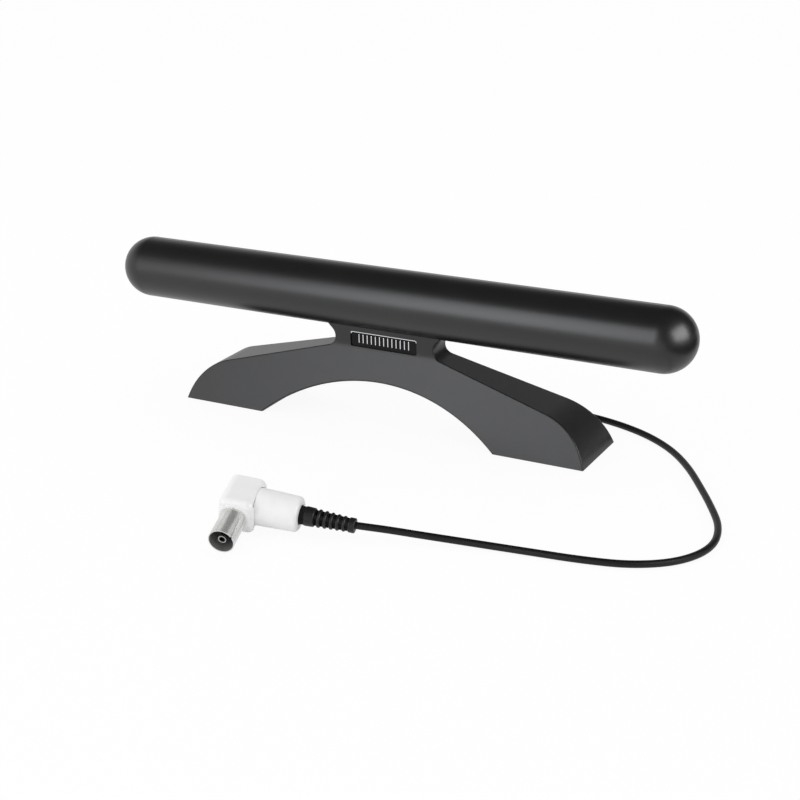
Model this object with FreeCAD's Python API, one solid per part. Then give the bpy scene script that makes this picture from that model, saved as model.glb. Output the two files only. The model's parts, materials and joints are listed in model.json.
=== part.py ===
import FreeCAD, Part
import math
import os

# Bar
bar_length = 285.0
bar_diameter = 28.4
bar_wall = 2.0
bar_axis_height = 57.0
spigot_length = 8.0
spigot_wall = 2.0
fit_clearance = 0.1

# Circuit board in the bar, with the two meander arms and the matching transformer
board_width = 21.0
board_thickness = 1.6
board_inset = 2.0
slot_clearance = 0.15
trace_width = 1.6
trace_thickness = 0.2
meander_step = 5.0
meander_height = 15.0
arm_gap = 18.0
core_length = 12.0
core_width = 8.0
core_height = 6.0
core_bore = 2.4
core_bore_spacing = 4.6

# Block in the bar that the neck screws bite into
block_length = 40.0

# Arched stand
stand_span = 202.4
stand_depth = 36.0
face_lean = 0.334
arch_span = 117.4
arch_height = 20.9
ridge_drop = 1.25
ridge_slope = 0.266
shoulder_radius = 28.0
edge_radius = 0.6

# Neck between the stand and the bar
neck_width = 49.8
neck_depth = 12.6
notch_radius = 4.7
flare_angle = 45.0
crease_radius = 10.0

# Badge in the front of the neck
badge_length = 33.6
badge_height = 7.0
badge_corner = 0.9
badge_drop = 3.05
recess_depth = 1.2
plate_thickness = 0.6
trim_width = 0.4
trim_thickness = 0.9
trim_return = 1.2

# Foot pads
pad_length = 34.0
pad_width = 26.0
pad_corner = 4.0
pad_thickness = 1.4
pad_proud = 0.15

# Screws up through the neck
screw_spacing = 26.0
screw_diameter = 3.0
screw_length = 20.0
screw_head_diameter = 5.6
screw_head_height = 2.2
screw_hole_clearance = 0.4
head_hole_clearance = 0.8
saddle_wall = 10.8

# Lead from the board to the rear of the stand
cable_diameter = 2.9
channel_clearance = 0.6
feed_setback = 2.0
feed_bend_radius = 6.5
exit_rise = 7.6

# Bush at the rear
flange_diameter = 8.0
flange_thickness = 1.5
spot_face_clearance = 0.4
seat_margin = 0.1
barrel_diameter = 6.0
barrel_length = 2.4
nose_length = 8.6
nose_tip_diameter = 4.6
rear_run = 10.0

# Share of the shorter run that each bend of the lead takes up
bend_share = 0.45

# Put-away coil of the lead behind the stand
coil_centre_x = -36.0
coil_centre_y = 64.0
coil_middle_diameter = 34.5
coil_layers = 4
coil_turns = 8.75
coil_corner = 1.4
tie_thickness = 0.6
tie_angle = 18.0
tie_place = 135.0

# How the plug lies: the crossing of its two axes, and its turns about Z, Y and X
plug_x = 2.8
plug_y = -126.1
plug_yaw = 14.5
plug_pitch = 7.0
plug_roll = 13.8

# Plug head, measured from the crossing of the shell's axis and the lead's axis
head_front = 9.3
head_back = 7.7
head_left = 6.8
head_right = 7.7
head_thickness = 15.0
head_corner = 3.2
head_front_round = 2.4
head_back_round = 0.5
boss_diameter = 12.6
boss_height = 0.5
boss_round = 0.4
seat_x = 6.7
seat_back = 1.5
stub_diameter = 9.8
stub_length = 6.8

# Plug sleeve
sleeve_gap = 0.2
sleeve_length = 17.1
sleeve_diameter = 14.9
sleeve_end_diameter = 14.0
sleeve_end_round = 1.6
sleeve_bore = 8.0
sleeve_step = 9.4

# Plug boot
boot_flange_length = 3.0
boot_neck_diameter = 7.2
boot_neck_show = 1.8
boot_collar_diameter = 7.75
boot_collar_end_diameter = 7.45
boot_collar_end = 29.8
rib_count = 5
rib_pitch = 2.5
rib_width = 1.4
rib_first_diameter = 7.25
rib_last_diameter = 6.2
boot_tip_diameter = 5.95
boot_tip_length = 2.6
boot_edge_round = 0.45
boot_core_diameter = 4.5
web_width = 1.6
web_first_diameter = 6.2
web_last_diameter = 5.1
web_turn = 45.0
boot_grip = 3.5

# Plug contacts
shell_diameter = 10.4
shell_wall = 0.4
shell_length = 14.5
shell_root = 7.5
contact_diameter = 3.3
contact_bore = 2.45
contact_bore_depth = 10.0
contact_recess = 1.2
insulator_depth = 11.5
insulator_length = 6.0
nick_diameter = 0.9
nick_from_rim = 0.3
nick_angle = 55.0

# Distance below which two places count as one
touch = 0.01

# Values worked out from the ones above
bar_radius = bar_diameter / 2
bar_bore = bar_radius - bar_wall
bar_straight = bar_length / 2 - bar_radius
bar_bottom = bar_axis_height - bar_radius
board_underside = bar_axis_height - board_thickness / 2
board_top = bar_axis_height + board_thickness / 2
board_half_length = bar_straight - board_inset
toe_x = stand_span / 2
heel_x = arch_span / 2
ridge_height = bar_bottom - ridge_drop
slope_length = math.hypot(1.0, ridge_slope)
neck_half = neck_depth / 2
badge_height_centre = ridge_height - badge_drop
screw_seat = bar_bottom - saddle_wall
exit_height = arch_height + exit_rise
cable_radius = cable_diameter / 2
channel_radius = (cable_diameter + channel_clearance) / 2
bush_seat = stand_depth / 2 - face_lean * (exit_height + flange_diameter / 2) - seat_margin
nose_end = bush_seat + flange_thickness + nose_length
turns_per_layer = coil_turns / coil_layers
coil_outer = (coil_middle_diameter + (turns_per_layer + 1) * cable_diameter) / 2
coil_inner = (coil_middle_diameter - (turns_per_layer + 1) * cable_diameter) / 2
coil_height = coil_layers * cable_diameter
sleeve_start = seat_x + sleeve_gap
sleeve_end = sleeve_start + sleeve_length
boot_end = boot_collar_end + rib_count * rib_pitch + (rib_pitch - rib_width) + boot_tip_length
shell_rim = head_front + shell_length

# Route of the lead on the floor: from the bush to the coil, and from the coil to the plug
rear_route = [
    (0.0, nose_end, exit_height),
    (0.0, nose_end + rear_run, exit_height),
    (-2.8, 36.7, 24.2),
    (-7.2, 44.8, 16.0),
    (-11.8, 52.4, 7.9),
    (-14.5, 61.0, 2.9),
    (-15.6, 71.0, 2.05),
]
front_route = [
    (-42.0, 43.4, 10.75),
    (-29.0, 43.2, 10.4),
    (-13.0, 43.4, 7.9),
    (4.0, 43.2, 4.6),
    (21.0, 42.7, 2.25),
    (39.0, 42.3, 1.5),
    (57.5, 41.5, 1.45),
    (76.5, 39.6, 1.45),
    (95.0, 35.8, 1.45),
    (112.5, 28.5, 1.45),
    (128.0, 17.0, 1.45),
    (140.5, 2.0, 1.45),
    (151.0, -14.5, 1.45),
    (161.0, -31.0, 1.45),
    (170.0, -48.0, 1.45),
    (173.0, -66.0, 1.45),
    (166.0, -82.0, 1.45),
    (151.0, -92.5, 1.45),
    (132.5, -96.7, 1.45),
    (112.0, -99.1, 1.45),
    (89.0, -102.7, 1.9),
    (70.5, -107.65, 3.3),
    (59.5, -110.7, 4.2),
]
boot_run = 3.0


def vec(x, y, z):
    return FreeCAD.Vector(x, y, z)


def closed_face(edges):
    return Part.Face(Part.Wire(edges))


def line(a, b):
    return Part.LineSegment(a, b).toShape()


def arc(a, middle, b):
    return Part.Arc(a, middle, b).toShape()


def cylinder(radius, start, end):
    """A cylinder between two points on its axis."""
    axis = end - start
    return Part.makeCylinder(radius, axis.Length, start, axis)


def turned(profile, point, axis):
    """The solid of revolution of a closed list of corners."""
    edges = [line(a, b) for a, b in zip(profile, profile[1:] + profile[:1])]
    return closed_face(edges).revolve(point, axis, 360)


def rounded_rectangle(x0, x1, y0, y1, radius):
    """A flat face with rounded corners in the plane Z = 0."""
    k = radius * (1 - math.sqrt(0.5))
    return closed_face([
        line(vec(x0 + radius, y0, 0), vec(x1 - radius, y0, 0)),
        arc(vec(x1 - radius, y0, 0), vec(x1 - k, y0 + k, 0), vec(x1, y0 + radius, 0)),
        line(vec(x1, y0 + radius, 0), vec(x1, y1 - radius, 0)),
        arc(vec(x1, y1 - radius, 0), vec(x1 - k, y1 - k, 0), vec(x1 - radius, y1, 0)),
        line(vec(x1 - radius, y1, 0), vec(x0 + radius, y1, 0)),
        arc(vec(x0 + radius, y1, 0), vec(x0 + k, y1 - k, 0), vec(x0, y1 - radius, 0)),
        line(vec(x0, y1 - radius, 0), vec(x0, y0 + radius, 0)),
        arc(vec(x0, y0 + radius, 0), vec(x0 + k, y0 + k, 0), vec(x0 + radius, y0, 0)),
    ])


def mirrored(shape):
    return shape.mirror(vec(0, 0, 0), vec(1, 0, 0))


def smooth_path(points, name):
    """Straight runs joined by tangent arcs, each arc as large as its two runs allow."""
    points = [vec(*p) for p in points]
    edges, radii = [], []
    here = points[0]
    for before, corner, after in zip(points, points[1:], points[2:]):
        back = (before - corner).normalize()
        ahead = (after - corner).normalize()
        half_turn = (math.pi - back.getAngle(ahead)) / 2
        reach = bend_share * min((before - corner).Length, (after - corner).Length)
        radius = reach / math.tan(half_turn)
        start, end = corner + back * reach, corner + ahead * reach
        bisector = (back + ahead).normalize()
        middle = corner + bisector * (radius / math.cos(half_turn) - radius)
        edges += [line(here, start), arc(start, middle, end)]
        radii.append(radius)
        here = end
    edges.append(line(here, points[-1]))
    print(name, "bend radii", [round(r, 1) for r in radii])
    return Part.Wire(edges)


def tube_along(path, radius):
    """A round tube along a path that starts with a straight run."""
    first = path.OrderedEdges[0]
    start = first.valueAt(first.FirstParameter)
    ring = Part.Wire(Part.makeCircle(radius, start, first.tangentAt(first.FirstParameter)))
    return path.makePipeShell([ring], True, True)


# Stand

def notch_centre():
    x = neck_width / 2 + notch_radius
    return vec(x, 0, ridge_height - ridge_slope * x + notch_radius * slope_length)


def shoulder_centre():
    """The centre of the arc that runs from the toe to a tangent with the top slope."""
    drop = (pad_proud + ridge_slope * toe_x - ridge_height) / slope_length
    across = -shoulder_radius - drop
    along = math.sqrt(shoulder_radius ** 2 - across ** 2)
    return vec(
        toe_x + (across * ridge_slope - along) / slope_length,
        0,
        pad_proud + (across + along * ridge_slope) / slope_length,
    )


def stand_outline():
    """The front view: arch below, two slopes with round shoulders above, and the waisted neck."""
    normal = vec(ridge_slope, 0, 1) / slope_length
    shoulder, notch = shoulder_centre(), notch_centre()
    toe, heel = vec(toe_x, 0, pad_proud), vec(heel_x, 0, pad_proud)
    shoulder_top = shoulder + normal * shoulder_radius
    shoulder_middle = ((toe - shoulder) + (shoulder_top - shoulder)).normalize()
    notch_low = notch - normal * notch_radius
    flare = math.radians(flare_angle)
    notch_high = notch + vec(-math.cos(flare), 0, math.sin(flare)) * notch_radius
    rise = bar_axis_height - notch_high.z
    neck_top = notch_high + vec(rise * math.tan(flare), 0, rise)
    right = [
        line(heel, toe),
        arc(toe, shoulder + shoulder_middle * shoulder_radius, shoulder_top),
        line(shoulder_top, notch_low),
        arc(notch_low, notch - vec(notch_radius, 0, 0), notch_high),
        line(notch_high, neck_top),
    ]
    left = [mirrored(edge) for edge in reversed(right)]
    top = line(neck_top, vec(-neck_top.x, 0, neck_top.z))
    under = arc(vec(-heel_x, 0, pad_proud), vec(0, 0, arch_height), heel)
    return closed_face(right + [top] + left + [under])


def stand_section():
    """The end view: two faces that lean in and then rise upright to the bar."""
    crease = (stand_depth / 2 - neck_half) / face_lean
    half_turn = math.atan(face_lean) / 2
    reach = crease_radius * math.tan(half_turn)
    lean = vec(0, face_lean, -1).normalize()
    corner = vec(0, neck_half, crease)
    low, high = corner + lean * reach, corner + vec(0, 0, reach)
    bisector = (lean + vec(0, 0, 1)).normalize()
    middle = corner + bisector * (crease_radius / math.cos(half_turn) - crease_radius)
    foot = vec(0, stand_depth / 2, 0)
    top = vec(0, neck_half, bar_axis_height)
    back = [line(foot, low), arc(low, middle, high), line(high, top)]
    front = [edge.mirror(vec(0, 0, 0), vec(0, 1, 0)) for edge in reversed(back)]
    roof = line(top, vec(0, -top.y, top.z))
    floor = line(vec(0, -foot.y, 0), foot)
    return closed_face(back + [roof] + front + [floor])


def feed_path(end_y):
    """Down the neck, round a bend and out at the rear."""
    start = vec(0, -feed_setback, board_underside)
    bend = vec(0, -feed_setback + feed_bend_radius, exit_height + feed_bend_radius)
    k = feed_bend_radius * math.sqrt(0.5)
    top, low = vec(0, -feed_setback, bend.z), vec(0, bend.y, exit_height)
    return Part.Wire([
        line(start, top),
        arc(top, bend - vec(0, k, k), low),
        line(low, vec(0, end_y, exit_height)),
    ])


def badge_outline(margin):
    """The badge's face, drawn flat and stood up in the plane of the neck's front."""
    face = rounded_rectangle(
        -badge_length / 2 + margin,
        badge_length / 2 - margin,
        -badge_height / 2 + margin,
        badge_height / 2 - margin,
        badge_corner - margin / 2,
    )
    face.rotate(vec(0, 0, 0), vec(1, 0, 0), 90)
    face.translate(vec(0, recess_depth - neck_half, badge_height_centre))
    return face


def pad_face():
    middle = (heel_x + toe_x) / 2
    return rounded_rectangle(
        middle - pad_length / 2, middle + pad_length / 2, -pad_width / 2, pad_width / 2, pad_corner)


def screw_places():
    return [vec(side * screw_spacing / 2, 0, 0) for side in (-1, 1)]


def rounded_edges(body):
    """The edges between the outline and the two faces: none is level or runs from front to rear."""
    boxes = [(edge, edge.BoundBox) for edge in body.Edges]
    return [edge for edge, box in boxes if box.ZLength > touch and box.YMin * box.YMax > 0]


def stand():
    outline = stand_outline()
    outline.translate(vec(0, -stand_depth, 0))
    section = stand_section()
    section.translate(vec(-stand_span, 0, 0))
    front_view = outline.extrude(vec(0, 2 * stand_depth, 0))
    end_view = section.extrude(vec(2 * stand_span, 0, 0))
    body = front_view.common(end_view)
    body = body.Solids[0]
    body = body.makeFillet(edge_radius, rounded_edges(body))
    reach = vec(bar_length, 0, 0)
    axis = vec(0, 0, bar_axis_height)
    body = body.cut(cylinder(bar_radius, axis - reach, axis + reach))
    body = body.cut(tube_along(feed_path(stand_depth), channel_radius))
    spot = vec(0, bush_seat, exit_height)
    outward = vec(0, stand_depth, 0)
    body = body.cut(cylinder((flange_diameter + spot_face_clearance) / 2, spot, spot + outward))
    body = body.cut(cylinder(barrel_diameter / 2, spot - vec(0, barrel_length, 0), spot))
    for place in screw_places():
        seat = place + vec(0, 0, screw_seat)
        shank = (screw_diameter + screw_hole_clearance) / 2
        head = (screw_head_diameter + head_hole_clearance) / 2
        body = body.cut(cylinder(shank, seat, place + axis))
        body = body.cut(cylinder(head, place, seat))
    body = body.cut(badge_outline(0).extrude(vec(0, -stand_depth, 0)))
    pocket = pad_face().extrude(vec(0, 0, pad_thickness))
    return body.cut(pocket).cut(mirrored(pocket))


def foot_pad():
    return pad_face().extrude(vec(0, 0, pad_thickness))


def badge_trim():
    """Bright lip along the top of the recess, with a short return at each end."""
    outward = vec(0, -trim_thickness, 0)
    frame = badge_outline(0).extrude(outward).cut(badge_outline(trim_width).extrude(outward))
    lower = badge_height_centre + badge_height / 2 - trim_return
    return frame.cut(Part.makeBox(badge_length, neck_depth, lower, vec(-badge_length / 2, -neck_depth, 0)))


def badge_plate():
    """The plate that fills the floor of the recess inside the lip."""
    return badge_outline(0).extrude(vec(0, -plate_thickness, 0)).cut(badge_trim())


# Bar and what it holds

def bar_tube():
    start, end = vec(-bar_straight, 0, bar_axis_height), vec(bar_straight, 0, bar_axis_height)
    tube = cylinder(bar_radius, start, end).cut(cylinder(bar_bore, start, end))
    for place in screw_places():
        hole = (screw_diameter + screw_hole_clearance) / 2
        tube = tube.cut(cylinder(hole, place, place + vec(0, 0, bar_axis_height)))
    feed = vec(0, -feed_setback, 0)
    return tube.cut(cylinder(channel_radius, feed, feed + vec(0, 0, bar_axis_height)))


def end_cap():
    """A hollow half ball with a spigot that goes into the tube and grooves for the board."""
    spigot = bar_bore - fit_clearance
    inside = spigot - spigot_wall
    x0 = bar_straight
    k = math.sqrt(0.5)
    profile = closed_face([
        line(vec(x0 - spigot_length, 0, inside), vec(x0 - spigot_length, 0, spigot)),
        line(vec(x0 - spigot_length, 0, spigot), vec(x0, 0, spigot)),
        line(vec(x0, 0, spigot), vec(x0, 0, bar_radius)),
        arc(vec(x0, 0, bar_radius), vec(x0 + bar_radius * k, 0, bar_radius * k),
            vec(x0 + bar_radius, 0, 0)),
        line(vec(x0 + bar_radius, 0, 0), vec(x0 + inside, 0, 0)),
        arc(vec(x0 + inside, 0, 0), vec(x0 + inside * k, 0, inside * k), vec(x0, 0, inside)),
        line(vec(x0, 0, inside), vec(x0 - spigot_length, 0, inside)),
    ])
    cap = profile.revolve(vec(0, 0, 0), vec(1, 0, 0), 360)
    width = board_width + 2 * slot_clearance
    height = board_thickness + 2 * slot_clearance
    groove = Part.makeBox(spigot_length, width, height,
                          vec(x0 - spigot_length, -width / 2, -height / 2))
    cap = cap.cut(groove)
    cap.translate(vec(0, 0, bar_axis_height))
    return cap


def antenna_board():
    return Part.makeBox(2 * board_half_length, board_width, board_thickness,
                        vec(-board_half_length, -board_width / 2, board_underside))


def dipole():
    """One arm: a strip that runs to and fro across the board, away from the middle."""
    room = bar_straight - spigot_length - arm_gap / 2
    legs = int(room // meander_step)
    half = meander_height / 2
    strips = []
    for i in range(legs):
        x = arm_gap / 2 + i * meander_step
        strips.append(Part.makeBox(trace_width, meander_height, trace_thickness, vec(x, -half, 0)))
        if i + 1 < legs:
            side = half - trace_width if i % 2 == 0 else -half
            strips.append(Part.makeBox(meander_step + trace_width, trace_width, trace_thickness,
                                       vec(x, side, 0)))
    arm = strips[0].multiFuse(strips[1:]).removeSplitter()
    arm.translate(vec(0, 0, board_top))
    return arm


def balun_core():
    """A ferrite block with two bores for the windings."""
    core = Part.makeBox(core_length, core_width, core_height,
                        vec(-core_length / 2, -core_width / 2, board_top))
    for side in (-1, 1):
        place = vec(0, side * core_bore_spacing / 2, board_top + core_height / 2)
        along = vec(core_length, 0, 0)
        core = core.cut(cylinder(core_bore / 2, place - along, place + along))
    return core


def clamp_block():
    """Fills the bar below the board over the neck, and takes the screws."""
    axis = vec(0, 0, bar_axis_height)
    half = vec(block_length / 2, 0, 0)
    block = cylinder(bar_bore, axis - half, axis + half)
    block = block.common(Part.makeBox(
        block_length, bar_diameter, board_underside, vec(-block_length / 2, -bar_radius, 0)))
    for place in screw_places():
        block = block.cut(cylinder(screw_diameter / 2, place, place + axis))
    feed = vec(0, -feed_setback, 0)
    return block.cut(cylinder(channel_radius, feed, feed + axis))


def neck_screw():
    """A pan head below its seat and a plain shank above it."""
    seat = vec(screw_spacing / 2, 0, screw_seat)
    shank = cylinder(screw_diameter / 2, seat, seat + vec(0, 0, screw_length))
    head = cylinder(screw_head_diameter / 2, seat - vec(0, 0, screw_head_height), seat)
    return shank.fuse(head).removeSplitter()


# Lead

def feed_lead():
    return tube_along(feed_path(nose_end), cable_radius)


def rear_grommet():
    y0 = bush_seat - barrel_length
    y1 = bush_seat + flange_thickness
    profile = [
        vec(cable_radius, y0, 0),
        vec(barrel_diameter / 2, y0, 0),
        vec(barrel_diameter / 2, bush_seat, 0),
        vec(flange_diameter / 2, bush_seat, 0),
        vec(flange_diameter / 2, y1, 0),
        vec(barrel_diameter / 2, y1, 0),
        vec(nose_tip_diameter / 2, nose_end, 0),
        vec(cable_radius, nose_end, 0),
    ]
    bush = turned(profile, vec(0, 0, 0), vec(0, 1, 0))
    bush.translate(vec(0, 0, exit_height))
    return bush


def coil_section(margin, corner):
    """Half section of the coil in the plane Y = 0, with the coil's axis on Z."""
    low, high = tie_thickness - margin, tie_thickness + coil_height + margin
    face = rounded_rectangle(coil_inner - margin, coil_outer + margin, low, high, corner)
    face.rotate(vec(0, 0, 0), vec(1, 0, 0), 90)
    return face


def coax_coil():
    ring = coil_section(0, coil_corner).revolve(vec(0, 0, 0), vec(0, 0, 1), 360)
    ring.translate(vec(coil_centre_x, coil_centre_y, 0))
    return ring


def coil_tie():
    """A strap round the turns, as a short sweep about the coil's axis."""
    band = coil_section(tie_thickness, coil_corner + tie_thickness)
    band = band.cut(coil_section(0, coil_corner))
    band = band.revolve(vec(0, 0, 0), vec(0, 0, 1), tie_angle)
    band.rotate(vec(0, 0, 0), vec(0, 0, 1), tie_place - tie_angle / 2)
    band.translate(vec(coil_centre_x, coil_centre_y, 0))
    return band


def coax_rear():
    path = smooth_path(rear_route, "rear lead")
    tube = tube_along(path, cable_radius)
    print("rear lead length", round(path.Length, 1), "volume", round(tube.Volume, 1))
    return tube.cut(coax_coil())


def coax_front():
    ends = [plug_placement().multVec(vec(x, 0, 0)) for x in (boot_end + boot_run, boot_end - boot_grip)]
    path = smooth_path(front_route + [tuple(end) for end in ends], "front lead")
    tube = tube_along(path, cable_radius)
    print("front lead length", round(path.Length, 1), "volume", round(tube.Volume, 1))
    return tube.cut(coax_coil())


# Plug, drawn with the lead along +X, the shell along -Y and the crossing of the two at the origin

def plug_placement():
    """Lays the plug down so that the rim of its shell rests on the floor."""
    turn = FreeCAD.Rotation(plug_yaw, plug_pitch, plug_roll)
    rim = turn.multVec(vec(0, -shell_rim, 0))
    tilt = turn.multVec(vec(0, -1, 0)).z
    height = shell_diameter / 2 * math.sqrt(1 - tilt ** 2) - rim.z
    return FreeCAD.Placement(vec(plug_x, plug_y, height), turn)


def plug_head():
    """A soft-edged block with a ring round the shell, and a stub and two lips for the sleeve."""
    section = rounded_rectangle(
        -head_left, head_right, -head_thickness / 2, head_thickness / 2, head_corner)
    section.rotate(vec(0, 0, 0), vec(1, 0, 0), 90)
    section.translate(vec(0, head_back, 0))
    body = section.extrude(vec(0, -head_front - head_back, 0))
    front = [e for e in body.Edges if e.BoundBox.YMax < touch - head_front]
    body = body.makeFillet(head_front_round, front)
    rear = [e for e in body.Edges if e.BoundBox.YMin > head_back - touch]
    body = body.makeFillet(head_back_round, rear)
    face = vec(0, -head_front, 0)
    boss = cylinder(boss_diameter / 2, vec(0, 0, 0), face - vec(0, boss_height, 0))
    rim = [e for e in boss.Edges if e.BoundBox.YMax < -head_front]
    boss = boss.makeFillet(boss_round, rim)
    room = sleeve_diameter / 2 + sleeve_gap
    seat = Part.makeBox(head_right, room + seat_back, head_thickness, vec(seat_x, -room, -head_thickness / 2))
    body = body.cut(seat).cut(cylinder(room, vec(seat_x, 0, 0), vec(head_right, 0, 0)))
    stub = cylinder(stub_diameter / 2, vec(0, 0, 0), vec(seat_x + stub_length, 0, 0))
    body = body.multiFuse([boss, stub]).removeSplitter()
    socket = cylinder(shell_diameter / 2, face - vec(0, boss_height, 0), face + vec(0, shell_root, 0))
    return body.cut(socket)


def plug_sleeve():
    r0, r1 = sleeve_diameter / 2, sleeve_end_diameter / 2
    bore, stub = sleeve_bore / 2, stub_diameter / 2
    k = sleeve_end_round
    step = sleeve_start + sleeve_step
    side = vec(sleeve_end - k, r1, 0)
    corner = vec(sleeve_end - k * (1 - math.sqrt(0.5)), r1 - k * (1 - math.sqrt(0.5)), 0)
    face = closed_face([
        line(vec(sleeve_start, stub, 0), vec(sleeve_start, r0, 0)),
        line(vec(sleeve_start, r0, 0), side),
        arc(side, corner, vec(sleeve_end, r1 - k, 0)),
        line(vec(sleeve_end, r1 - k, 0), vec(sleeve_end, bore, 0)),
        line(vec(sleeve_end, bore, 0), vec(step, bore, 0)),
        line(vec(step, bore, 0), vec(step, stub, 0)),
        line(vec(step, stub, 0), vec(sleeve_start, stub, 0)),
    ])
    return face.revolve(vec(0, 0, 0), vec(1, 0, 0), 360)


def boot_rib(x, radius):
    """A disc with a half-round crest."""
    half = rib_width / 2
    face = closed_face([
        line(vec(x, 0, 0), vec(x, radius - half, 0)),
        arc(vec(x, radius - half, 0), vec(x + half, radius, 0), vec(x + rib_width, radius - half, 0)),
        line(vec(x + rib_width, radius - half, 0), vec(x + rib_width, 0, 0)),
        line(vec(x + rib_width, 0, 0), vec(x, 0, 0)),
    ])
    return face.revolve(vec(0, 0, 0), vec(1, 0, 0), 360)


def plug_boot():
    """A strain relief: a neck and a collar, tapering ribs on a core with four webs, and a tip."""
    start = sleeve_start + sleeve_step
    inside = start + boot_flange_length
    collar_start = sleeve_end + boot_neck_show
    tip_start = boot_end - boot_tip_length
    along = vec(1, 0, 0)
    collar = Part.makeCone(boot_collar_diameter / 2, boot_collar_end_diameter / 2,
                           boot_collar_end - collar_start, vec(collar_start, 0, 0), along)
    tip = cylinder(boot_tip_diameter / 2, vec(tip_start, 0, 0), vec(boot_end, 0, 0))
    rims = [[e for e in body.Edges if e.BoundBox.XLength < touch] for body in (collar, tip)]
    pieces = [
        cylinder(sleeve_bore / 2, vec(start, 0, 0), vec(inside, 0, 0)),
        cylinder(boot_neck_diameter / 2, vec(inside, 0, 0), vec(collar_start, 0, 0)),
        collar.makeFillet(boot_edge_round, rims[0]),
        cylinder(boot_core_diameter / 2, vec(collar_start, 0, 0), vec(boot_end, 0, 0)),
        tip.makeFillet(boot_edge_round, rims[1]),
    ]
    gap = rib_pitch - rib_width
    for i in range(rib_count):
        share = i / max(rib_count - 1, 1)
        diameter = rib_first_diameter + (rib_last_diameter - rib_first_diameter) * share
        pieces.append(boot_rib(boot_collar_end + gap + i * rib_pitch, diameter / 2))
    run = tip_start - boot_collar_end + 2 * boot_edge_round
    run_start = vec(boot_collar_end - boot_edge_round, 0, 0)
    limit = Part.makeCone(web_first_diameter / 2, web_last_diameter / 2, run, run_start, along)
    web = Part.makeBox(run, web_width, web_first_diameter, run_start - vec(0, web_width / 2, 0)).common(limit)
    for quarter in range(4):
        spoke = web.copy()
        spoke.rotate(vec(0, 0, 0), along, web_turn + 90 * quarter)
        pieces.append(spoke)
    boot = pieces[0].multiFuse(pieces[1:]).removeSplitter()
    return boot.cut(cylinder(cable_diameter / 2, vec(boot_end - boot_grip, 0, 0), vec(boot_end, 0, 0)))


def plug_shell():
    """A thin sleeve with a small nick in its rim."""
    rim, root = vec(0, -shell_rim, 0), vec(0, shell_root - head_front, 0)
    outer = shell_diameter / 2
    shell = cylinder(outer, rim, root).cut(cylinder(outer - shell_wall, rim, root))
    angle = math.radians(nick_angle)
    place = rim + vec(0, nick_from_rim, 0)
    reach = vec(math.sin(angle), 0, math.cos(angle)) * shell_diameter
    return shell.cut(cylinder(nick_diameter / 2, place, place + reach))


def plug_insulator():
    face = vec(0, insulator_depth - shell_rim, 0)
    back = face + vec(0, insulator_length, 0)
    disc = cylinder(shell_diameter / 2 - shell_wall, face, back)
    return disc.cut(cylinder(contact_diameter / 2, face, back))


def plug_contact():
    mouth = vec(0, contact_recess - shell_rim, 0)
    back = vec(0, insulator_depth + insulator_length - shell_rim, 0)
    socket = cylinder(contact_diameter / 2, mouth, back)
    return socket.cut(cylinder(contact_bore / 2, mouth, mouth + vec(0, contact_bore_depth, 0)))


def laid_down(shape):
    shape.Placement = plug_placement().multiply(shape.Placement)
    return shape


nodes = {
    "stand": stand(),
    "foot_pad_left": mirrored(foot_pad()),
    "foot_pad_right": foot_pad(),
    "badge_plate": badge_plate(),
    "badge_trim": badge_trim(),
    "bar_tube": bar_tube(),
    "end_cap_left": mirrored(end_cap()),
    "end_cap_right": end_cap(),
    "antenna_board": antenna_board(),
    "dipole_left": mirrored(dipole()),
    "dipole_right": dipole(),
    "balun_core": balun_core(),
    "clamp_block": clamp_block(),
    "neck_screw_left": mirrored(neck_screw()),
    "neck_screw_right": neck_screw(),
    "feed_lead": feed_lead(),
    "rear_grommet": rear_grommet(),
    "coax_rear": coax_rear(),
    "coax_coil": coax_coil(),
    "coil_tie": coil_tie(),
    "coax_front": coax_front(),
    "plug_boot": laid_down(plug_boot()),
    "plug_sleeve": laid_down(plug_sleeve()),
    "plug_head": laid_down(plug_head()),
    "plug_shell": laid_down(plug_shell()),
    "plug_insulator": laid_down(plug_insulator()),
    "plug_contact": laid_down(plug_contact()),
}

os.makedirs("parts", exist_ok=True)
for name, shape in nodes.items():
    print(name, len(shape.Solids), "solid", shape.isValid(), round(shape.Volume, 1))
    shape.exportStep(os.path.join("parts", name + ".step"))
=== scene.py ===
import json
import math

import bmesh
import bpy
from mathutils import Matrix, Vector


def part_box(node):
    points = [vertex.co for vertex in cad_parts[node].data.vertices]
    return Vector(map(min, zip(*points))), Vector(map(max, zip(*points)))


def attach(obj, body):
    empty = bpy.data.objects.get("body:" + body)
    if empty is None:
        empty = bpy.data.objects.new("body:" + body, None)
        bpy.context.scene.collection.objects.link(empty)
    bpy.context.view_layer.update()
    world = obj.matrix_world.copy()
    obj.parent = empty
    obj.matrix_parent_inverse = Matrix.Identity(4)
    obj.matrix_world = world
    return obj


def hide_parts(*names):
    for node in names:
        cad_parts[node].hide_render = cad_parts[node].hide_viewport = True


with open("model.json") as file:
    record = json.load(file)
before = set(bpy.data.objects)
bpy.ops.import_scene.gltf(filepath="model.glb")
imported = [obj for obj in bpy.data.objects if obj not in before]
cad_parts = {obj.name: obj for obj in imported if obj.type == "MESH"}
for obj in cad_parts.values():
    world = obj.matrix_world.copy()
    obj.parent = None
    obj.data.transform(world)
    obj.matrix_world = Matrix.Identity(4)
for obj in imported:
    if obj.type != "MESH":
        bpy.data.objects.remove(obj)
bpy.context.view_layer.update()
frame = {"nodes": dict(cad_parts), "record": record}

nodes = frame["nodes"]
scene = bpy.context.scene
scene.view_settings.view_transform = "Standard"


def placed(name, data):
    """A new object of that name in the scene."""
    thing = bpy.data.objects.new(name, data)
    scene.collection.objects.link(thing)
    return thing


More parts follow.
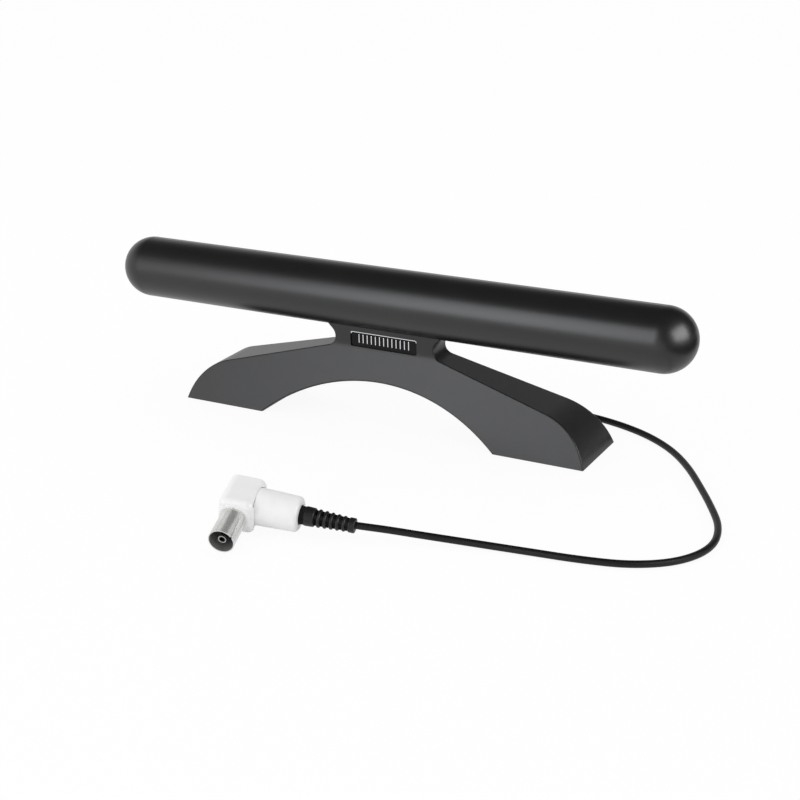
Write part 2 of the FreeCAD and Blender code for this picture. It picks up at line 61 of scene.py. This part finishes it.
# Camera at the photograph's viewing angle
AZIMUTH = math.radians(28.831)
ELEVATION = math.radians(21.018)
ROLL = math.radians(-1.221)
DISTANCE = 0.72153
TARGET = Vector((0.00456, -0.00009, 0.01005))
LENS_MM = 71.578
SENSOR_MM = 36.0
CLIP_START = 0.01


def photo_camera():
    """A camera that looks at the target from its azimuth, elevation and distance."""
    back = Vector((
        math.sin(AZIMUTH) * math.cos(ELEVATION),
        -math.cos(AZIMUTH) * math.cos(ELEVATION),
        math.sin(ELEVATION),
    ))
    level = Vector((math.cos(AZIMUTH), math.sin(AZIMUTH), 0.0))
    above = back.cross(level)
    right = level * math.cos(ROLL) + above * math.sin(ROLL)
    up = above * math.cos(ROLL) - level * math.sin(ROLL)
    data = bpy.data.cameras.new("camera")
    data.lens = LENS_MM
    data.sensor_width = SENSOR_MM
    data.sensor_fit = "HORIZONTAL"
    data.clip_start = CLIP_START
    camera = placed("camera", data)
    axes = Matrix((right, up, back)).transposed().to_4x4()
    camera.matrix_world = Matrix.Translation(TARGET + back * DISTANCE) @ axes
    return camera


scene.camera = photo_camera()

# The lead, from the bush at the rear through the put-away coil to the plug
LEAD_DIAMETER = 0.0029
LEAD_RADIUS = LEAD_DIAMETER / 2
LEAD_ROUND_STEPS = 6
LEAD_CURVE_STEPS = 8
QUADRATIC = 3
EXIT = (0.0, 0.017145, 0.0285)
REAR_ROUTE = [
    EXIT,
    (0.0, 0.027145, 0.0285),
    (-0.0028, 0.0367, 0.0242),
    (-0.0072, 0.0448, 0.0160),
    (-0.0118, 0.0524, 0.0079),
    (-0.0145, 0.0610, 0.0029),
    (-0.0156, 0.0710, 0.00205),
]
FRONT_ROUTE = [
    (-0.0420, 0.0434, 0.01075),
    (-0.0290, 0.0432, 0.0104),
    (-0.0130, 0.0434, 0.0079),
    (0.0040, 0.0432, 0.0046),
    (0.0210, 0.0427, 0.00225),
    (0.0390, 0.0423, 0.0015),
    (0.0575, 0.0415, LEAD_RADIUS),
    (0.0765, 0.0396, LEAD_RADIUS),
    (0.0950, 0.0358, LEAD_RADIUS),
    (0.1125, 0.0285, LEAD_RADIUS),
    (0.1280, 0.0170, LEAD_RADIUS),
    (0.1405, 0.0020, LEAD_RADIUS),
    (0.1510, -0.0145, LEAD_RADIUS),
    (0.1610, -0.0310, LEAD_RADIUS),
    (0.1700, -0.0480, LEAD_RADIUS),
    (0.1730, -0.0660, LEAD_RADIUS),
    (0.1660, -0.0820, LEAD_RADIUS),
    (0.1510, -0.0925, LEAD_RADIUS),
    (0.1325, -0.0967, LEAD_RADIUS),
    (0.1120, -0.0991, LEAD_RADIUS),
    (0.0890, -0.1027, 0.0019),
    (0.0705, -0.10765, 0.0033),
    (0.0595, -0.1107, 0.0043),
    (0.04989, -0.11392, 0.00515),
    (0.04364, -0.11554, 0.00551),
]
COIL_CENTRE = (-0.0360, 0.0640)
COIL_MIDDLE_RADIUS = 0.01725
COIL_BOTTOM = 0.0006
COIL_LAYERS = 4
COIL_WHOLE_TURNS = 8
COIL_START_DEGREES = 44.0
COIL_END_DEGREES = 232.0
COIL_POINTS_PER_TURN = 14
# The share of a layer after which the lead climbs to the next one
COIL_CLIMB_START = 0.86


def coil_points():
    """Neat layers of turns, wound inwards and outwards in turn, a diameter apart."""
    total = COIL_WHOLE_TURNS + (COIL_END_DEGREES - COIL_START_DEGREES) / 360.0
    per_layer = total / COIL_LAYERS
    count = round(total * COIL_POINTS_PER_TURN)
    half_width = LEAD_DIAMETER * per_layer / 2
    # A quadratic spline runs inside its control polygon by this share
    inside = (3 + math.cos(2 * math.pi / COIL_POINTS_PER_TURN)) / 4
    points = []
    for i in range(count + 1):
        turns = total * i / count
        layer = min(int(turns / per_layer), COIL_LAYERS - 1)
        share = turns / per_layer - layer
        inward = share if layer % 2 == 0 else 1 - share
        radius = (COIL_MIDDLE_RADIUS + half_width * (1 - 2 * inward)) / inside
        climb = max(0.0, (share - COIL_CLIMB_START) / (1 - COIL_CLIMB_START))
        if layer == COIL_LAYERS - 1:
            climb = 0.0
        angle = math.radians(COIL_START_DEGREES) + 2 * math.pi * turns
        points.append((
            COIL_CENTRE[0] + radius * math.cos(angle),
            COIL_CENTRE[1] + radius * math.sin(angle),
            COIL_BOTTOM + LEAD_RADIUS + LEAD_DIAMETER * (layer + climb),
        ))
    return points


def lead_curve():
    """One round curve, whose points carry its radius in metres."""
    data = bpy.data.curves.new("lead", "CURVE")
    data.dimensions = "3D"
    data.bevel_depth = 1.0
    data.bevel_resolution = LEAD_ROUND_STEPS
    data.resolution_u = LEAD_CURVE_STEPS
    spline = data.splines.new("NURBS")
    points = REAR_ROUTE + coil_points() + FRONT_ROUTE
    spline.points.add(len(points) - 1)
    for point, place in zip(spline.points, points):
        point.co = (*place, 1.0)
        point.radius = LEAD_RADIUS
    spline.order_u = QUADRATIC
    spline.use_endpoint_u = True
    return placed("lead", data)


lead = lead_curve()
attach(lead, "root")
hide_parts("coax_rear", "coax_coil", "coax_front")

# A plain row of upright bars in the badge's recess, under its bright lip
RIB_COUNT = 13
RIB_PITCH = 0.0021
RIB_WIDTH = 0.0004
RIB_PROUD = 0.0002
RIB_ROUND = 0.0001
RIB_ROUND_STEPS = 2
RIB_BOTTOM = 0.0368
RIB_TOP = 0.0408


def badge_ribs():
    """Round-edged bars that stand on the plate's face."""
    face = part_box("badge_plate")[0][1]
    size = Matrix.Diagonal((RIB_WIDTH, 2 * RIB_PROUD, RIB_TOP - RIB_BOTTOM, 1.0))
    mesh = bpy.data.meshes.new("badge_ribs")
    bars = bmesh.new()
    for i in range(RIB_COUNT):
        middle = (i - (RIB_COUNT - 1) / 2) * RIB_PITCH
        place = Matrix.Translation((middle, face, (RIB_TOP + RIB_BOTTOM) / 2))
        bmesh.ops.create_cube(bars, size=1.0, matrix=place @ size)
    bmesh.ops.bevel(
        bars, geom=bars.edges[:], offset=RIB_ROUND, segments=RIB_ROUND_STEPS, affect="EDGES")
    bars.to_mesh(mesh)
    bars.free()
    return placed("badge_ribs", mesh)


ribs = badge_ribs()
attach(ribs, "root")


# Shader nodes

# The span that most values of a noise lie in
NOISE_LOW = 0.3
NOISE_HIGH = 0.7


def new_material(name):
    material = bpy.data.materials.new(name)
    material.use_nodes = True
    tree = material.node_tree
    return material, tree, tree.nodes["Principled BSDF"]


def object_place(tree):
    return tree.nodes.new("ShaderNodeTexCoord").outputs["Object"]


def noise(tree, place, scale, detail, roughness=0.5):
    node = tree.nodes.new("ShaderNodeTexNoise")
    node.inputs["Scale"].default_value = scale
    node.inputs["Detail"].default_value = detail
    node.inputs["Roughness"].default_value = roughness
    tree.links.new(place, node.inputs["Vector"])
    return node.outputs["Fac"]


def spread(tree, value, low, high):
    """Maps a noise's usual span on to a span of roughness."""
    node = tree.nodes.new("ShaderNodeMapRange")
    node.inputs["From Min"].default_value = NOISE_LOW
    node.inputs["From Max"].default_value = NOISE_HIGH
    node.inputs["To Min"].default_value = low
    node.inputs["To Max"].default_value = high
    tree.links.new(value, node.inputs["Value"])
    return node.outputs["Result"]


def colours(tree, value, dark, light):
    """Maps a noise's usual span on to the colours from dark to light."""
    ramp = tree.nodes.new("ShaderNodeValToRGB")
    ends = ((NOISE_LOW, dark), (NOISE_HIGH, light))
    for element, (position, colour) in zip(ramp.color_ramp.elements, ends):
        element.position = position
        element.color = (*colour, 1.0)
    tree.links.new(value, ramp.inputs["Fac"])
    return ramp.outputs["Color"]


def bumped(tree, shader, value, strength, distance):
    node = tree.nodes.new("ShaderNodeBump")
    node.inputs["Strength"].default_value = strength
    node.inputs["Distance"].default_value = distance
    tree.links.new(value, node.inputs["Height"])
    tree.links.new(node.outputs["Normal"], shader.inputs["Normal"])


def along(tree, axis):
    """How far a point of the surface lies along an axis through the origin, in metres."""
    dot = tree.nodes.new("ShaderNodeVectorMath")
    dot.operation = "DOT_PRODUCT"
    dot.inputs[1].default_value = axis
    tree.links.new(object_place(tree), dot.inputs[0])
    return dot.outputs["Value"]


def maths(tree, operation, *terms):
    """A Math node on sockets and floats."""
    node = tree.nodes.new("ShaderNodeMath")
    node.operation = operation
    for socket, term in zip(node.inputs, terms):
        if isinstance(term, float):
            socket.default_value = term
        else:
            tree.links.new(term, socket)
    return node.outputs[0]


def step(tree, value, start, end):
    """Nought up to the start, one from the end."""
    node = tree.nodes.new("ShaderNodeMapRange")
    node.inputs["From Min"].default_value = start
    node.inputs["From Max"].default_value = end
    tree.links.new(value, node.inputs["Value"])
    return node.outputs["Result"]


def paint_shade(tree, keep, colour, rough):
    """Paints shade: gives the shader another colour and roughness where keep is nought."""
    shader = tree.nodes["Principled BSDF"]
    shade_values = (("Base Color", (*colour, 1.0)), ("Roughness", (rough, rough, rough, 1.0)))
    for socket, shade_value in shade_values:
        kept = shader.inputs[socket].links[0].from_socket
        mix = tree.nodes.new("ShaderNodeMix")
        mix.data_type = "RGBA"
        mix.inputs["A"].default_value = shade_value
        tree.links.new(keep, mix.inputs["Factor"])
        tree.links.new(kept, mix.inputs["B"])
        tree.links.new(mix.outputs["Result"], shader.inputs[socket])


# Plain finishes
BLUE_SHARE = 1.03
PATCHES = 60.0
PATCH_DETAIL = 4.0
GRAIN_DETAIL = 3.0
FINE_ROUGHNESS = 0.6
GRAIN_STRENGTH = 0.35


def grey(value):
    """A grey with a trace of blue."""
    return (value, value, value * BLUE_SHARE)


def surface(name, dark, light, rough, grain, depth, metal=0.0, specular=0.5, patches=PATCHES):
    """A finish with slow colour drift, uneven gloss and a fine grain."""
    material, tree, shader = new_material(name)
    drift = noise(tree, object_place(tree), patches, PATCH_DETAIL, FINE_ROUGHNESS)
    tree.links.new(colours(tree, drift, dark, light), shader.inputs["Base Color"])
    fine = noise(tree, object_place(tree), grain, GRAIN_DETAIL, FINE_ROUGHNESS)
    tree.links.new(spread(tree, fine, *rough), shader.inputs["Roughness"])
    bumped(tree, shader, fine, GRAIN_STRENGTH, depth)
    shader.inputs["Metallic"].default_value = metal
    shader.inputs["Specular IOR Level"].default_value = specular
    return material


# The plug's own axes: along its shell, along its sleeve, and square to both
mounts = {mount["name"]: mount for mount in frame["record"]["mounts"]}
PLUG_SHELL = Vector(mounts["coax_socket"]["axis"])
PLUG_SLEEVE = Vector((0.96093121, 0.24851371, -0.12186934))
PLUG_UP = PLUG_SHELL.cross(PLUG_SLEEVE)

# The shell: a point on its axis, its inner radius, and how far outside that the painted shade on its inner
# wall fades
SHELL_CENTRE = Vector(mounts["coax_socket"]["pos_m"])
SHELL_BORE = 0.0048
BORE_FADE_START = 0.00002
BORE_FADE_END = 0.00008
# Painted shade: a darker colour on the shell's inner wall, inside the bore
INNER_WALL_SHADE_COLOUR = (0.32, 0.32, 0.313)
INNER_WALL_ROUGH = 0.45
# Noise scales of the streaks, across the shell and along it, and of the spots
STREAKS_ACROSS = 1100.0
STREAKS_ALONG = 55.0
STREAK_DETAIL = 3.0
STREAK_STRENGTH = 0.3
STREAK_DEPTH = 6e-6
SPOTS = 900.0
SPOT_DETAIL = 2.0


def outside_bore(tree):
    """Nought on the shell's inner wall, one further from its axis."""
    across = maths(tree, "SUBTRACT", along(tree, PLUG_SLEEVE), SHELL_CENTRE.dot(PLUG_SLEEVE))
    upwards = maths(tree, "SUBTRACT", along(tree, PLUG_UP), SHELL_CENTRE.dot(PLUG_UP))
    square = maths(tree, "ADD", maths(tree, "POWER", across, 2.0), maths(tree, "POWER", upwards, 2.0))
    radius = maths(tree, "SQRT", square)
    return step(tree, radius, SHELL_BORE + BORE_FADE_START, SHELL_BORE + BORE_FADE_END)


def drawn_nickel(name, dark, light, rough, metal):
    """Plated metal with fine streaks along the shell, small spots, and painted shade on its inner wall."""
    material, tree, shader = new_material(name)
    scales = ((PLUG_SLEEVE, STREAKS_ACROSS), (PLUG_UP, STREAKS_ACROSS), (PLUG_SHELL, STREAKS_ALONG))
    lines = tree.nodes.new("ShaderNodeCombineXYZ")
    for socket, (axis, scale) in zip(lines.inputs, scales):
        tree.links.new(maths(tree, "MULTIPLY", along(tree, axis), scale), socket)
    streak = noise(tree, lines.outputs[0], 1.0, STREAK_DETAIL)
    spots = noise(tree, object_place(tree), SPOTS, SPOT_DETAIL)
    tree.links.new(colours(tree, streak, dark, light), shader.inputs["Base Color"])
    tree.links.new(spread(tree, spots, *rough), shader.inputs["Roughness"])
    bumped(tree, shader, streak, STREAK_STRENGTH, STREAK_DEPTH)
    shader.inputs["Metallic"].default_value = metal
    # Painted shade on the inner wall: a darker colour and more roughness there
    paint_shade(tree, outside_bore(tree), INNER_WALL_SHADE_COLOUR, INNER_WALL_ROUGH)
    return material


# The boot, along the sleeve: the end of its plain ring, and the gaps between its ribs, where shade is
# painted
BOOT_RING_END = -0.00415
BOOT_RING_FADE = 0.0001
BOOT_GAPS_START = -0.00015
BOOT_GAP = 0.0011
BOOT_RIB_PITCH = 0.0025
BOOT_GAPS = 6
# Shares of half a gap between which its painted shade and matt finish fade
GAP_FADE_START = 0.8
GAP_FADE_END = 1.15
# The near-black colour of the painted shade in the gaps and on the ring
GAP_SHADE_COLOUR = (0.001, 0.001, 0.001)
GAP_ROUGH = 0.9


def rib_crests(tree, place):
    """Nought in the gaps between the boot's ribs, one outside them."""
    count = maths(tree, "DIVIDE", maths(tree, "SUBTRACT", place, BOOT_GAPS_START), BOOT_RIB_PITCH)
    last = float(BOOT_GAPS - 1)
    number = maths(tree, "MINIMUM", maths(tree, "MAXIMUM", maths(tree, "FLOOR", count), 0.0), last)
    half = BOOT_GAP / BOOT_RIB_PITCH / 2
    middle = maths(tree, "SUBTRACT", maths(tree, "SUBTRACT", count, number), half)
    return step(tree, maths(tree, "ABSOLUTE", middle), half * GAP_FADE_START, half * GAP_FADE_END)


def rubber_with_painted_shade(name, **look):
    """Rubber with painted shade: matt and blacker on the ring beside the sleeve and between the ribs."""
    material = surface(name, **look)
    tree = material.node_tree
    place = along(tree, PLUG_SLEEVE)
    past_shaded_ring = step(tree, place, BOOT_RING_END - BOOT_RING_FADE, BOOT_RING_END + BOOT_RING_FADE)
    # Painted shade on the ring beside the sleeve and in the gaps between the ribs
    paint_shade(tree, maths(tree, "MINIMUM", rib_crests(tree, place), past_shaded_ring), GAP_SHADE_COLOUR, GAP_ROUGH)
    return material


# One finish for each material slot of the record
finishes = {
    "bar_black": surface(
        "satin_black", dark=grey(0.008), light=grey(0.010), rough=(0.31, 0.37), grain=2600.0, depth=2e-5),
    "stand_black": surface(
        "moulded_black", dark=grey(0.011), light=grey(0.014), rough=(0.34, 0.42), grain=2200.0, depth=3e-5,
        specular=0.40),
    "pad_rubber": surface(
        "pad_rubber", dark=grey(0.012), light=grey(0.018), rough=(0.7, 0.85), grain=1500.0, depth=6e-5),
    "badge_black": surface(
        "badge_black", dark=grey(0.003), light=grey(0.005), rough=(0.12, 0.2), grain=900.0, depth=4e-6,
        specular=0.15),
    "badge_chrome": surface(
        "badge_chrome", dark=(0.72, 0.73, 0.75), light=(0.8, 0.81, 0.83), rough=(0.08, 0.16),
        grain=1400.0, depth=4e-6, metal=1.0),
    "board_green": surface(
        "board_green", dark=(0.02, 0.12, 0.05), light=(0.03, 0.16, 0.07), rough=(0.3, 0.4),
        grain=1500.0, depth=1e-5),
    "trace_copper": surface(
        "trace_copper", dark=(0.62, 0.36, 0.2), light=(0.72, 0.43, 0.24), rough=(0.3, 0.42),
        grain=1500.0, depth=1e-5, metal=1.0),
    "ferrite": surface(
        "ferrite", dark=(0.05, 0.045, 0.045), light=(0.07, 0.065, 0.065), rough=(0.6, 0.75),
        grain=1800.0, depth=3e-5),
    "block_plastic": surface(
        "block_plastic", dark=grey(0.05), light=grey(0.06), rough=(0.5, 0.6), grain=1500.0, depth=3e-5),
    "screw_steel": surface(
        "screw_steel", dark=(0.5, 0.5, 0.51), light=(0.58, 0.59, 0.6), rough=(0.28, 0.4),
        grain=1800.0, depth=1e-5, metal=1.0),
    "lead_jacket": surface(
        "lead_jacket", dark=grey(0.004), light=grey(0.006), rough=(0.4, 0.5), grain=1800.0, depth=6e-6,
        specular=0.26),
    "bush_rubber": surface(
        "bush_rubber", dark=grey(0.012), light=grey(0.017), rough=(0.5, 0.62), grain=1800.0, depth=4e-5),
    "tie_plastic": surface(
        "tie_plastic", dark=grey(0.02), light=grey(0.03), rough=(0.4, 0.5), grain=1800.0, depth=2e-5),
    "boot_rubber": rubber_with_painted_shade(
        "boot_rubber", dark=grey(0.007), light=grey(0.010), rough=(0.4, 0.5), grain=1800.0, depth=3e-5,
        specular=0.32),
    "plug_white": surface(
        "plug_white", dark=(0.80, 0.80, 0.80), light=(0.84, 0.84, 0.845), rough=(0.42, 0.52),
        grain=1500.0, depth=2e-5, patches=140.0),
    "plug_nickel": drawn_nickel(
        "plug_nickel", dark=(0.53, 0.53, 0.515), light=(0.71, 0.71, 0.69), rough=(0.20, 0.28), metal=0.65),
    # Painted shade: the insulator is coloured dark grey for the shade deep inside the shell
    "insulator_white": surface(
        "insulator_white", dark=(0.20, 0.20, 0.196), light=(0.23, 0.23, 0.225), rough=(0.45, 0.55),
        grain=1500.0, depth=2e-5),
}
# The centre socket is in the shell's slot, with a darker metal colour than the shell's
contact_finish = surface(
    "contact_nickel", dark=(0.34, 0.34, 0.33), light=(0.42, 0.42, 0.41), rough=(0.28, 0.36),
    grain=1300.0, depth=4e-6, metal=1.0)

for part in frame["record"]["subparts"]:
    mesh = nodes[part["node"]].data
    mesh.materials.clear()
    mesh.materials.append(finishes[part["material_slot"]])
nodes["plug_contact"].data.materials[0] = contact_finish
lead.data.materials.append(finishes["lead_jacket"])
ribs.data.materials.append(finishes["badge_chrome"])


# Studio: floor, flag, world and lamps
WHITE = (1.0, 1.0, 1.0, 1.0)
BLACK = (0.0, 0.0, 0.0, 1.0)
FLOOR_COLOUR = (0.86, 0.86, 0.86, 1.0)
FLOOR_ROUGH = 0.9
FLOOR_HALF = 6.0
FLOOR_HEIGHT = -0.0002
FLOOR_SHARE_WHITE = 0.93


def studio_plane(name, corners):
    mesh = bpy.data.meshes.new(name)
    mesh.from_pydata(corners, [], [(0, 1, 2, 3)])
    plane = placed(name, mesh)
    return plane


def seen_ray(tree):
    """One for a ray from the camera or from a mirror or glass, else nought."""
    path = tree.nodes.new("ShaderNodeLightPath")
    mirrored = maths(tree, "MAXIMUM", path.outputs["Is Camera Ray"], path.outputs["Is Glossy Ray"])
    return maths(tree, "MAXIMUM", mirrored, path.outputs["Is Transmission Ray"])


def white_floor():
    """A floor that is seen as nearly white and takes a faint shadow."""
    floor = studio_plane("floor", [
        (x * FLOOR_HALF, y * FLOOR_HALF, FLOOR_HEIGHT) for x, y in ((-1, -1), (1, -1), (1, 1), (-1, 1))])
    material, tree, shader = new_material("floor")
    shader.inputs["Base Color"].default_value = FLOOR_COLOUR
    shader.inputs["Roughness"].default_value = FLOOR_ROUGH
    glow = tree.nodes.new("ShaderNodeEmission")
    glow.inputs["Color"].default_value = WHITE
    mix = tree.nodes.new("ShaderNodeMixShader")
    tree.links.new(maths(tree, "MULTIPLY", seen_ray(tree), FLOOR_SHARE_WHITE), mix.inputs["Fac"])
    tree.links.new(shader.outputs["BSDF"], mix.inputs[1])
    tree.links.new(glow.outputs["Emission"], mix.inputs[2])
    tree.links.new(mix.outputs["Shader"], tree.nodes["Material Output"].inputs["Surface"])
    floor.data.materials.append(material)


FLAG_X = 0.22
FLAG_FRONT = -0.20
FLAG_REAR = 0.16
FLAG_BOTTOM = 0.0
FLAG_TOP = 0.055


def black_flag():
    """A plane at the right that only reflections show, below the side lamp's spot on the bar's end."""
    flag = studio_plane("flag", [
        (FLAG_X, FLAG_FRONT, FLAG_BOTTOM),
        (FLAG_X, FLAG_REAR, FLAG_BOTTOM),
        (FLAG_X, FLAG_REAR, FLAG_TOP),
        (FLAG_X, FLAG_FRONT, FLAG_TOP),
    ])
    flag.visible_camera = False
    flag.visible_diffuse = False
    flag.visible_shadow = False
    material, _, shader = new_material("flag")
    shader.inputs["Base Color"].default_value = BLACK
    shader.inputs["Specular IOR Level"].default_value = 0.0
    flag.data.materials.append(material)


# What gloss mirrors: greys by height, where rightwards counts as higher and leftwards a little lower
WALL_STEPS = ((0.20, 1.0), (0.40, 0.35), (0.50, 0.07), (0.60, 0.03))
WALL_LEFT_SHARE = 0.2


def wall_grey(tree):
    """White low down and to the left, dark above and to the right."""
    place = tree.nodes.new("ShaderNodeTexCoord")
    parts = tree.nodes.new("ShaderNodeSeparateXYZ")
    tree.links.new(place.outputs["Generated"], parts.inputs[0])
    rightwards = parts.outputs["X"]
    slant = maths(tree, "MAXIMUM", maths(tree, "MULTIPLY", rightwards, WALL_LEFT_SHARE), rightwards)
    ramp = tree.nodes.new("ShaderNodeValToRGB")
    elements = ramp.color_ramp.elements
    while len(elements) < len(WALL_STEPS):
        elements.new(0.5)
    for element, (position, shade) in zip(elements, WALL_STEPS):
        element.position = position
        element.color = (shade, shade, shade, 1.0)
    tree.links.new(maths(tree, "ADD", slant, parts.outputs["Z"]), ramp.inputs["Fac"])
    return ramp.outputs["Color"]


def whitened(tree, colour, where):
    """The colour, or white where the last value is one."""
    mix = tree.nodes.new("ShaderNodeMix")
    mix.data_type = "RGBA"
    mix.inputs["B"].default_value = WHITE
    tree.links.new(where, mix.inputs["Factor"])
    tree.links.new(colour, mix.inputs["A"])
    return mix.outputs["Result"]


def studio_world():
    """The wall's greys for gloss, and white for diffuse light and for the camera."""
    world = bpy.data.worlds.new("studio")
    world.use_nodes = True
    tree = world.node_tree
    path = tree.nodes.new("ShaderNodeLightPath")
    filled = whitened(tree, wall_grey(tree), path.outputs["Is Diffuse Ray"])
    seen = whitened(tree, filled, path.outputs["Is Camera Ray"])
    tree.links.new(seen, tree.nodes["Background"].inputs["Color"])
    return world


# The key lamp is two in one place, for gloss and for diffuse light
KEY_PLACE = (-0.44, -1.09, 0.52)
KEY_AIM = (0.0, 0.0, 0.05)
KEY_WIDTH = 0.52
KEY_HEIGHT = 1.0
KEY_GLOSS_RADIANCE = 4.6
KEY_DIFFUSE_RADIANCE = 2.4
KEY_GLOSS_COLOUR = (0.94, 0.96, 1.0)
SIDE_PLACE = (1.235, -0.19, 0.64)
SIDE_AIM = (0.12, 0.0, 0.05)
SIDE_WIDTH = 1.30
SIDE_HEIGHT = 0.85
SIDE_RADIANCE = 7.2
# Each card's name, place and width
CARDS = (("card_left", (-0.50, 0.55, 0.70), 0.70), ("card_right", (0.55, 0.79, 0.55), 0.81))
CARD_HEIGHT = 0.60
CARD_RADIANCE = 0.73


def softbox(name, place, aim, width, height, radiance):
    """An evenly bright rectangle that faces its aim."""
    data = bpy.data.lights.new(name, "AREA")
    data.shape = "RECTANGLE"
    data.size = width
    data.size_y = height
    data.energy = radiance * math.pi * width * height
    lamp = placed(name, data)
    lamp.location = place
    lamp.rotation_euler = (Vector(aim) - Vector(place)).to_track_quat("-Z", "Y").to_euler()
    return lamp


def key_lamps():
    gloss = softbox("key", KEY_PLACE, KEY_AIM, KEY_WIDTH, KEY_HEIGHT, KEY_GLOSS_RADIANCE)
    gloss.visible_diffuse = False
    gloss.data.color = KEY_GLOSS_COLOUR
    diffuse = softbox("soft_key", KEY_PLACE, KEY_AIM, KEY_WIDTH, KEY_HEIGHT, KEY_DIFFUSE_RADIANCE)
    diffuse.visible_glossy = False


def side_lamp():
    """A lamp for gloss alone, at the right."""
    side = softbox("side", SIDE_PLACE, SIDE_AIM, SIDE_WIDTH, SIDE_HEIGHT, SIDE_RADIANCE)
    side.visible_diffuse = False


def shell_cards():
    """White cards that only the plug's shell mirrors, one each side of its dark streak."""
    card_sees = bpy.data.collections.new("card_sees")
    card_sees.objects.link(nodes["plug_shell"])
    for name, place, width in CARDS:
        card = softbox(name, place, SHELL_CENTRE, width, CARD_HEIGHT, CARD_RADIANCE)
        card.visible_diffuse = False
        card.light_linking.receiver_collection = card_sees


white_floor()
black_flag()
scene.world = studio_world()
key_lamps()
side_lamp()
shell_cards()

bpy.context.view_layer.update()
